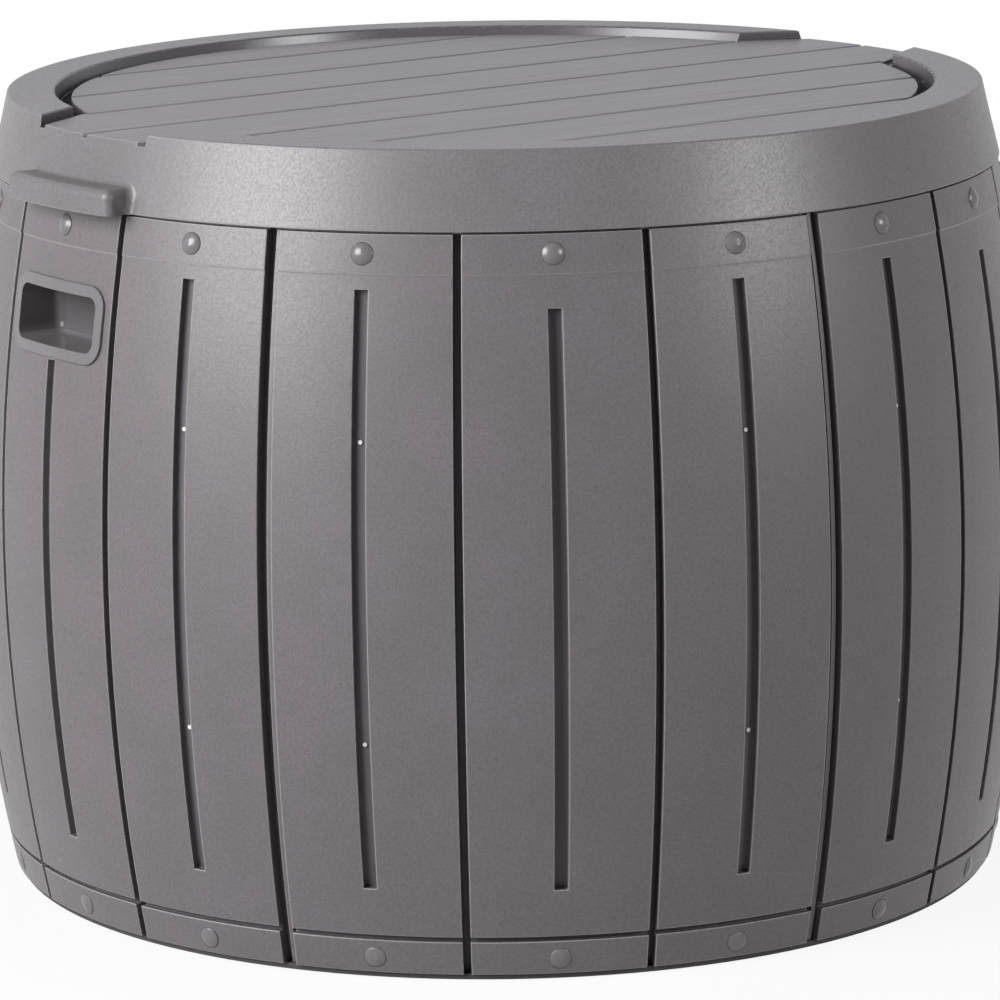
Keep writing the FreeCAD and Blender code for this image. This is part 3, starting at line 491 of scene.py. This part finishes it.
@dataclass
class GateMarks:
    """Pale stubs on the slot floors, where the resin was let into the mould.

    Attributes:
        barrel: Outline of the staves.
        angles: Directions of the staves that have them, in degrees round from +X.
        heights: Heights of the two stubs on a stave.
        slot_depth: Depth of a slot's floor below the stave's face.
        radius: Radius of a stub.
        rise: How far a stub stands off the floor.
        root: How far it goes into the floor.
        sides: Number of sides of a stub.
        foot_share: Share of the rise that goes straight up.
        steps: Inset and rise of each ring above that, as shares of the radius and the rise.
        lean: Sideways shift of the torn tip, as shares of the radius.
        smooth_angle: Degrees up to which its edges are shaded smooth.
    """

    barrel: Barrel
    angles: tuple[int, ...] = (20, 40, 80, 100, 140, 160, 200, 220, 260, 280, 320, 340)
    heights: tuple[float, ...] = (0.1303, 0.2897)
    slot_depth: float = 0.0045
    radius: float = 0.0007
    rise: float = 0.0010
    root: float = 0.0003
    sides: int = 12
    foot_share: float = 0.6
    steps: tuple[tuple[float, float], ...] = ((0.35, 0.25), (0.3, 0.15))
    lean: tuple[float, float] = (0.15, 0.1)
    smooth_angle: float = 50.0

    def build(self) -> None:
        """Model one stub and set a copy of it at every place."""
        stub = self.model_stub()
        stub.data.materials.append(TORN_RESIN.build())
        for angle in self.angles:
            for row, height in enumerate(self.heights, start=1):
                self.place(stub, angle, height, f"gate_mark_{angle:03d}_{row}")
        bpy.data.objects.remove(stub)

    def model_stub(self) -> bpy.types.Object:
        """Model a stub that stands on the floor plane at the origin.

        Returns:
            The stub: a short round foot drawn in to a torn, leaning tip.
        """
        bpy.ops.object.select_all(action="DESELECT")
        bpy.ops.mesh.primitive_cylinder_add(
            vertices=self.sides, radius=self.radius, depth=self.root,
            location=(0.0, 0.0, -self.root / 2))
        stub = bpy.context.object
        bpy.ops.object.transform_apply(location=True, rotation=True, scale=True)
        bpy.ops.object.mode_set(mode="OBJECT")
        for face in stub.data.polygons:
            face.select = face.normal.z > LEVEL
        bpy.ops.object.mode_set(mode="EDIT")
        bpy.ops.mesh.select_mode(type="FACE")
        bpy.ops.mesh.extrude_region_move(
            TRANSFORM_OT_translate={"value": (0.0, 0.0, self.rise * self.foot_share)})
        for inset, rise in self.steps:
            bpy.ops.mesh.inset(thickness=self.radius * inset, depth=self.rise * rise)
        bpy.ops.transform.translate(
            value=(self.radius * self.lean[0], self.radius * self.lean[1], 0.0))
        bpy.ops.object.mode_set(mode="OBJECT")
        bpy.ops.object.shade_smooth_by_angle(angle=math.radians(self.smooth_angle))
        return stub

    def place(self, stub: bpy.types.Object, angle: int, height: float, name: str) -> None:
        """Set a copy of the stub, with its own mesh, on a slot's floor.

        Args:
            stub: The stub to copy.
            angle: Direction of the stave in degrees.
            height: Height above the floor.
            name: Name of the copy.
        """
        mark = stub.copy()
        mark.data = stub.data.copy()
        mark.name = name
        bpy.context.scene.collection.objects.link(mark)
        spot = Vector((self.barrel.radius(height, self.slot_depth), 0.0, height))
        turn = Matrix.Rotation(math.radians(angle), 4, "Z")
        lean = Matrix.Rotation(math.radians(90) - self.barrel.slope(height), 4, "Y")
        mark.data.transform(turn @ Matrix.Translation(spot) @ lean)
        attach(mark, "box")
        LOG.info("set %s", name)


@dataclass
class Lid:
    """The lid: brushed planks, a polished rim wall over a moat, both painted dark for their shade,
    and an etched skirt.

    Attributes:
        deck_drop: How far the planks lie below the rim.
        deck_radius: Radius of the deck inside its moat.
        moat_depth: Depth of the moat below the planks, and a little to spare.
        rim_inside: Drop below which a face that looks inwards is inside the skirt.
        slack: How far above the planks a face may lie and still count as deck.
        groove_share: Share of the moat's depth that the plank grooves stay above.
    """

    deck_drop: float = 0.0045
    deck_radius: float = 0.2367
    moat_depth: float = 0.0055
    rim_inside: float = 0.0125
    slack: float = 0.0003
    groove_share: float = 0.6

    def build(self) -> None:
        """Dress the lid and give each of its faces its finish."""
        lid = dress("lid", SKIRT_RESIN.build(), DECK_RESIN.build(), CORE_RESIN.build(),
                    RIM_WALL_SHADE_RESIN.build(), RIM_TOP_LIT_RESIN.build(), MOAT_SHADE_RESIN.build())
        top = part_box("lid")[1].z
        for face in lid.data.polygons:
            finish = self.finish_of(top - face.center.z, face.center, face.normal)
            face.material_index = finish.value

    def finish_of(self, drop: float, centre: Vector, normal: Vector) -> LidFinish:
        """Tell which finish a face has.

        Args:
            drop: How far the face lies below the rim.
            centre: Middle of the face.
            normal: Its outward direction.

        Returns:
            The finish.
        """
        if self.is_under(drop, centre, normal):
            return LidFinish.UNDER
        if self.is_moat_floor(drop, normal):
            return LidFinish.MOAT_FLOOR
        if self.is_deck(drop, centre, normal):
            return LidFinish.DECK
        if self.is_rim_wall(drop, centre, normal):
            return LidFinish.RIM_WALL
        if normal.z > LEVEL and drop < self.deck_drop:
            return LidFinish.RIM_TOP
        return LidFinish.SKIRT

    def is_deck(self, drop: float, centre: Vector, normal: Vector) -> bool:
        """Tell whether a face is one of the planks' faces or groove walls.

        Args:
            drop: How far the face lies below the rim.
            centre: Middle of the face.
            normal: Its outward direction.

        Returns:
            True for planks, grooves and the moat's inner wall.
        """
        low = self.deck_drop - self.slack < drop < self.deck_drop + self.moat_depth
        inside = math.hypot(centre.x, centre.y) < self.deck_radius
        return low and (normal.z > LEVEL or inside)

    def is_moat_floor(self, drop: float, normal: Vector) -> bool:
        """Tell whether a face is on the floor of the moat or of its drains.

        Args:
            drop: How far the face lies below the rim.
            normal: Its outward direction.

        Returns:
            True for level faces deeper than the plank grooves.
        """
        depth = drop - self.deck_drop
        deep = self.groove_share * self.moat_depth < depth < self.moat_depth
        return deep and normal.z > LEVEL

    def is_rim_wall(self, drop: float, centre: Vector, normal: Vector) -> bool:
        """Tell whether a face is on the rim's polished inner wall.

        Args:
            drop: How far the face lies below the rim.
            centre: Middle of the face.
            normal: Its outward direction.

        Returns:
            True for the wall that looks in over the moat.
        """
        inward = centre.x * normal.x + centre.y * normal.y < 0.0
        return inward and normal.z < LEVEL and drop < self.deck_drop + self.moat_depth

    def is_under(self, drop: float, centre: Vector, normal: Vector) -> bool:
        """Tell whether a face is on the hollow side of the lid.

        Args:
            drop: How far the face lies below the rim.
            centre: Middle of the face.
            normal: Its outward direction.

        Returns:
            True for the underside, the ribs and the inside of the skirt.
        """
        inward = centre.x * normal.x + centre.y * normal.y < 0.0
        return normal.z < -LEVEL or (inward and drop > self.rim_inside)


@dataclass
class PhotoCamera:
    """The photograph's viewpoint.

    Attributes:
        azimuth: Degrees round from the front, to the left where negative.
        distance: Metres from the box's axis.
        height: Metres above the floor.
        pitch: Degrees that the camera looks down.
        roll: Degrees that the camera leans to its right.
        lens: Focal length in millimetres.
        frame_width: Width of the frame behind the lens, in millimetres.
        reach: How far the camera sees, in metres.
    """

    azimuth: float = -35.85
    distance: float = 3.0428
    height: float = 0.8421
    pitch: float = 11.94
    roll: float = 0.75
    lens: float = 197.52
    frame_width: float = 36.0
    reach: float = 50.0

    def build(self) -> None:
        """Add the camera and make it the scene's own."""
        data = bpy.data.cameras.new("photo_camera")
        data.lens = self.lens
        data.sensor_width = self.frame_width
        data.clip_end = self.reach
        camera = bpy.data.objects.new("photo_camera", data)
        bpy.context.scene.collection.objects.link(camera)
        place = Matrix.Rotation(math.radians(self.azimuth), 4, "Z")
        place @= Matrix.Translation((0.0, -self.distance, self.height))
        place @= Matrix.Rotation(math.radians(90 - self.pitch), 4, "X")
        place @= Matrix.Rotation(math.radians(-self.roll), 4, "Z")
        camera.matrix_world = place
        bpy.context.scene.camera = camera
        LOG.info("camera at %s", tuple(round(value, 3) for value in place.translation))


@dataclass
class SoftBox:
    """A square studio light aimed at the box.

    Attributes:
        name: The light's name.
        azimuth: Degrees round from the front, to the left where negative.
        elevation: Degrees above the floor.
        distance: Metres from the middle of the box.
        size: Side of the light in metres.
        power: Watts.
        aim: Height of the point that it is aimed at.
    """

    name: str
    azimuth: float
    elevation: float
    distance: float
    size: float
    power: float
    aim: float = 0.22

    def build(self) -> None:
        """Add the light."""
        data = bpy.data.lights.new(self.name, "AREA")
        data.size = self.size
        data.energy = self.power
        lamp = bpy.data.objects.new(self.name, data)
        bpy.context.scene.collection.objects.link(lamp)
        place = Matrix.Translation((0.0, 0.0, self.aim))
        place @= Matrix.Rotation(math.radians(self.azimuth), 4, "Z")
        place @= Matrix.Rotation(math.radians(90 - self.elevation), 4, "X")
        place @= Matrix.Translation((0.0, 0.0, self.distance))
        lamp.matrix_world = place


@dataclass
class Studio:
    """White floor, soft lights and the world around the box.

    Attributes:
        lights: The soft boxes.
        world_strength: Light from all round.
        floor_size: Side of the floor in metres.
        floor_drop: How far the floor lies under the box's foot.
        floor_colour: sRGB hex colour of the floor.
        floor_roughness: Roughness of the floor.
        shade_reach: Distances from the box between which its shadow fades out.
        shade_glow: Share of plain white in the floor beside the box.
    """

    lights: list[SoftBox] = field(default_factory=lambda: [
        SoftBox("key_left", -88.0, 25.0, 2.4, 1.4, 96.0),
        SoftBox("fill_right", 22.0, 20.0, 2.4, 0.7, 27.0),
    ])
    world_strength: float = 0.005
    floor_size: float = 30.0
    floor_drop: float = 0.0005
    floor_colour: str = "#d0d0d0"
    floor_roughness: float = 0.9
    shade_reach: tuple[float, float] = (0.34, 1.2)
    shade_glow: float = 0.9

    def build(self) -> None:
        """Add the lights, the world and the floor."""
        for light in self.lights:
            light.build()
        self.build_world()
        self.build_floor()
        bpy.context.scene.view_settings.view_transform = "Standard"

    def seen_directly(self, tree: bpy.types.NodeTree) -> bpy.types.NodeSocket:
        """One where the camera or a reflection looks, and nought for light that falls on things.

        Args:
            tree: The nodes of the floor or the world.

        Returns:
            The factor's socket.
        """
        path = add_node(tree, "ShaderNodeLightPath")
        either = add_node(tree, "ShaderNodeMath", {
            0: path.outputs["Is Camera Ray"], 1: path.outputs["Is Glossy Ray"]},
            operation="MAXIMUM")
        total = add_node(tree, "ShaderNodeMath", {
            0: either.outputs[0], 1: path.outputs["Is Transmission Ray"]}, operation="MAXIMUM")
        return total.outputs[0]

    def build_world(self) -> None:
        """White to the eye, and a plain even light on the box."""
        world = bpy.data.worlds.new("studio_world")
        world.use_nodes = True
        bpy.context.scene.world = world
        tree = world.node_tree
        around = add_node(tree, "ShaderNodeBackground", {
            "Color": linear(WHITE), "Strength": self.world_strength})
        seen = add_node(tree, "ShaderNodeBackground", {"Color": linear(WHITE), "Strength": 1.0})
        mix = add_node(tree, "ShaderNodeMixShader", {
            0: self.seen_directly(tree), 1: around.outputs[0], 2: seen.outputs[0]})
        tree.links.new(mix.outputs[0], tree.nodes["World Output"].inputs["Surface"])

    def build_floor(self) -> None:
        """A wide pale floor that keeps the box's shadow and turns plain white further off."""
        bpy.ops.object.select_all(action="DESELECT")
        bpy.ops.mesh.primitive_plane_add(
            size=self.floor_size, location=(0.0, 0.0, -self.floor_drop))
        floor = bpy.context.object
        floor.name = "floor"
        bpy.ops.object.transform_apply(location=True, rotation=True, scale=True)
        material = bpy.data.materials.new("matt_white_floor")
        material.use_nodes = True
        tree = material.node_tree
        shader = tree.nodes["Principled BSDF"]
        shader.inputs["Base Color"].default_value = linear(self.floor_colour)
        shader.inputs["Roughness"].default_value = self.floor_roughness
        glow = add_node(tree, "ShaderNodeEmission", {"Color": linear(WHITE), "Strength": 1.0})
        place = add_node(tree, "ShaderNodeTexCoord").outputs["Object"]
        away = add_node(tree, "ShaderNodeVectorMath", {0: place}, operation="LENGTH")
        share = add_node(tree, "ShaderNodeMapRange", {
            "Value": away.outputs["Value"], "From Min": self.shade_reach[0],
            "From Max": self.shade_reach[1], "To Min": self.shade_glow, "To Max": 1.0})
        factor = add_node(tree, "ShaderNodeMath", {
            0: self.seen_directly(tree), 1: share.outputs["Result"]}, operation="MULTIPLY")
        mix = add_node(tree, "ShaderNodeMixShader", {
            0: factor.outputs[0], 1: shader.outputs[0], 2: glow.outputs[0]})
        tree.links.new(mix.outputs[0], tree.nodes["Material Output"].inputs["Surface"])
        floor.data.materials.append(material)


def main() -> None:
    """Dress the box, then set up the studio and the camera."""
    logging.basicConfig(level=logging.INFO, format="%(message)s")
    barrel = Barrel()
    Walls(barrel).build()
    GateMarks(barrel).build()
    Lid().build()
    Studio().build()
    PhotoCamera().build()


if __name__ == "__main__":
    main()
